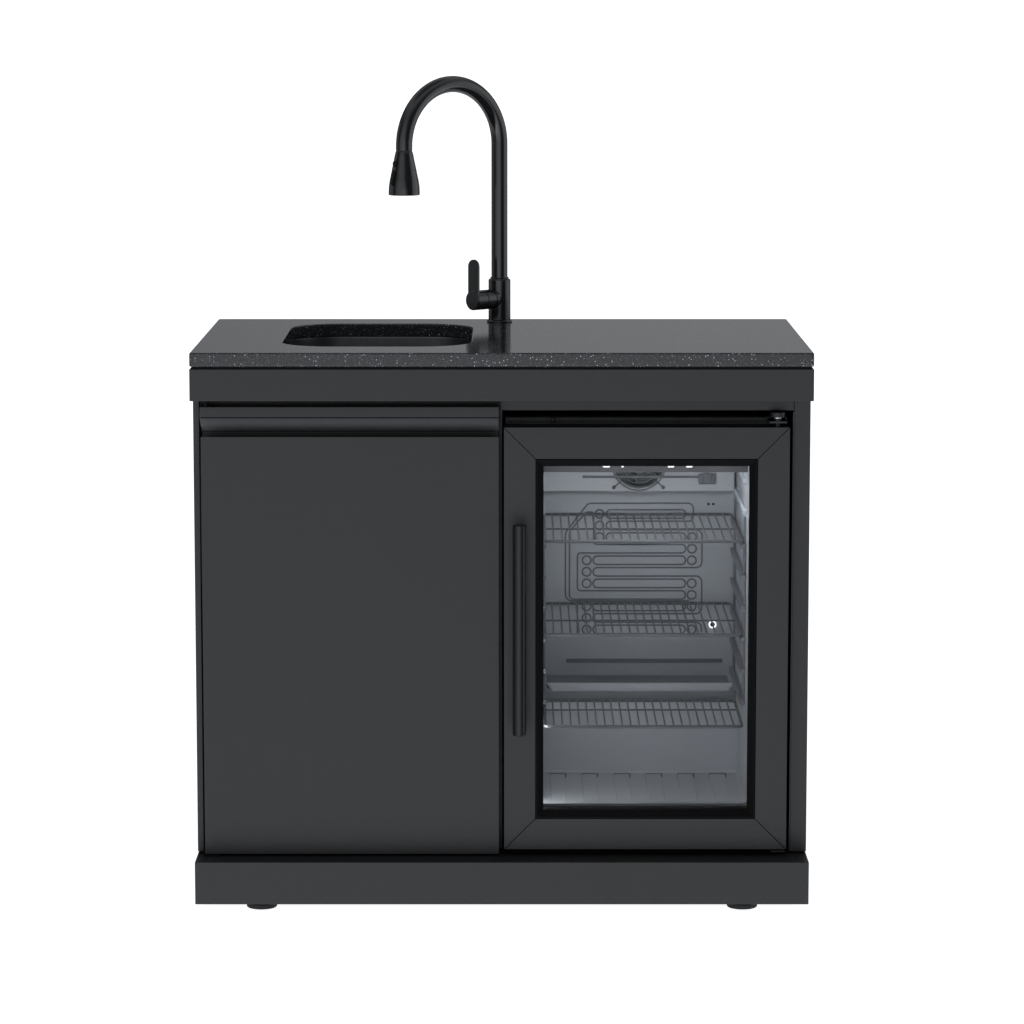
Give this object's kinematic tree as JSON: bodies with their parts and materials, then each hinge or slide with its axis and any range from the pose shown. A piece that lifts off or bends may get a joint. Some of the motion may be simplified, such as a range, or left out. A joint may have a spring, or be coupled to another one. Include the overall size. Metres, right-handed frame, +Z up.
{
  "type": "outdoor bar cabinet with sink and beverage refrigerator",
  "caption": "Outdoor bar cabinet with a stone worktop, undermount sink, pull-down mixer tap, cupboard and glass-door beverage refrigerator.",
  "frame": {"origin": "middle of the outline at floor level", "axes": "+X to the right of someone facing the doors, +Y to the back, +Z up"},
  "size_m": [1, 0.628, 1.3482],
  "materials": {
    "worktop_stone": "polished speckled granite",
    "shadow_black": "matt black",
    "panel_anthracite": "fine satin powder coat, dark grey",
    "foot_rubber": "matt",
    "stainless": "brushed",
    "brass": "machined",
    "drain_plastic": "white pipe",
    "tap_black": "satin black coating",
    "spray_black": "satin black",
    "fridge_shell": "coated sheet",
    "fridge_liner": "light grey moulded",
    "evaporator_metal": "embossed, coated",
    "foam": "foamed",
    "shelf_wire": "coated wire",
    "machine_black": "satin black",
    "door_glass": "clear, lightly tinted"
  },
  "bodies": {
    "root": {"worktop": "worktop_stone", "worktop_subframe": "shadow_black", "apron_front": "panel_anthracite", "apron_return": "panel_anthracite", "side_panel_left": "panel_anthracite", "side_panel_right": "panel_anthracite", "top_rail": "panel_anthracite", "centre_partition": "panel_anthracite", "base_tray": "shadow_black", "back_panel": "panel_anthracite", "mains_gland": "foot_rubber", "plinth_front": "panel_anthracite", "plinth_return": "panel_anthracite", "foot_front_left": "foot_rubber", "foot_front_right": "foot_rubber", "foot_back_left": "foot_rubber", "foot_back_right": "foot_rubber", "door_pivot_lower": "stainless", "door_pivot_upper": "stainless", "shelf_support_left": "fridge_liner", "shelf_support_right": "fridge_liner", "sink_bowl": "stainless", "sink_drain": "stainless", "drain_trap": "drain_plastic", "inlet_valve": "brass", "tap_body": "tap_black", "tap_nut": "brass", "fridge_case": "fridge_shell", "fridge_liner": "fridge_liner", "insulation_foam": "foam", "evaporator_plate": "evaporator_metal", "evaporator_cover": "fridge_liner", "control_fascia": "fridge_liner", "shelf_upper": "shelf_wire", "shelf_middle": "shelf_wire", "shelf_lower": "shelf_wire", "compressor": "machine_black", "condenser": "machine_black", "rear_grille": "machine_black", "fridge_hinge_top": "stainless", "fridge_hinge_bottom": "stainless"},
    "cupboard_door": {"cupboard_door_panel": "panel_anthracite", "cupboard_door_pull": "panel_anthracite"},
    "fridge_door": {"fridge_door_frame": "panel_anthracite", "fridge_door_bead": "shadow_black", "fridge_glass": "door_glass", "fridge_gasket": "foot_rubber", "fridge_handle": "tap_black"},
    "evaporator_fan": {"evaporator_fan": "machine_black"},
    "condenser_fan": {"condenser_fan": "machine_black"},
    "spout": {"tap_spout": "tap_black"},
    "spray": {"spray_head": "spray_black", "spray_face": "foot_rubber", "spray_hose": "foot_rubber"},
    "button_round": {"spray_button_round": "spray_black"},
    "button_long": {"spray_button_long": "spray_black"},
    "mixer_ball": {"tap_ball": "tap_black"},
    "lever": {"tap_lever": "tap_black"},
    "strainer": {"strainer_basket": "stainless"},
    "valve_lever": {"inlet_valve_lever": "stainless"}
  },
  "joints": [
    {"name": "cupboard_door_swing", "type": "hinge", "parent": "root", "child": "cupboard_door", "pos_m": [-0.478, -0.261, 0.46], "axis": [0, 0, -1], "range_deg": [0, 105]},
    {"name": "fridge_door_swing", "type": "hinge", "parent": "root", "child": "fridge_door", "pos_m": [0.446, -0.257, 0.447], "axis": [0, 0, 1], "range_deg": [0, 110]},
    {"name": "evaporator_fan_spin", "type": "hinge", "parent": "root", "child": "evaporator_fan", "pos_m": [0.235, 0.1525, 0.686], "axis": [0, 1, 0], "continuous": true},
    {"name": "condenser_fan_spin", "type": "hinge", "parent": "root", "child": "condenser_fan", "pos_m": [0.325, 0.2305, 0.1827], "axis": [0, 1, 0], "continuous": true},
    {"name": "spout_swivel", "type": "hinge", "parent": "root", "child": "spout", "pos_m": [-0.0053, 0.253, 0.995], "axis": [0, 0, 1], "range_deg": [-60, 60]},
    {"name": "spray_pull_down", "type": "slide", "parent": "spout", "child": "spray", "axis": [0, 0, -1], "range_m": [0, 0.2], "deforming": ["spray_hose"]},
    {"name": "spray_button_round_press", "type": "slide", "parent": "spray", "child": "button_round", "axis": [0.7738, 0.6334, 0], "range_m": [0, 0.0012], "stiffness_N_per_m": 600, "springref_m": -0.001},
    {"name": "spray_button_long_press", "type": "slide", "parent": "spray", "child": "button_long", "axis": [0.7738, 0.6334, 0], "range_m": [0, 0.0012], "stiffness_N_per_m": 600, "springref_m": -0.001},
    {"name": "lever_mix", "type": "hinge", "parent": "root", "child": "mixer_ball", "pos_m": [-0.02227, 0.23603, 0.961], "axis": [-0.7071, -0.7071, 0], "range_deg": [-45, 45]},
    {"name": "lever_flow", "type": "hinge", "parent": "mixer_ball", "child": "lever", "pos_m": [-0.02227, 0.23603, 0.961], "axis": [0.7071, -0.7071, 0], "range_deg": [0, 15]},
    {"name": "strainer_lift", "type": "slide", "parent": "root", "child": "strainer", "axis": [0, 0, 1], "range_m": [0, 0.12]},
    {"name": "inlet_valve_turn", "type": "hinge", "parent": "root", "child": "valve_lever", "pos_m": [-0.4, 0.242, 0.5], "axis": [0, 1, 0], "range_deg": [0, 90]}
  ]
}
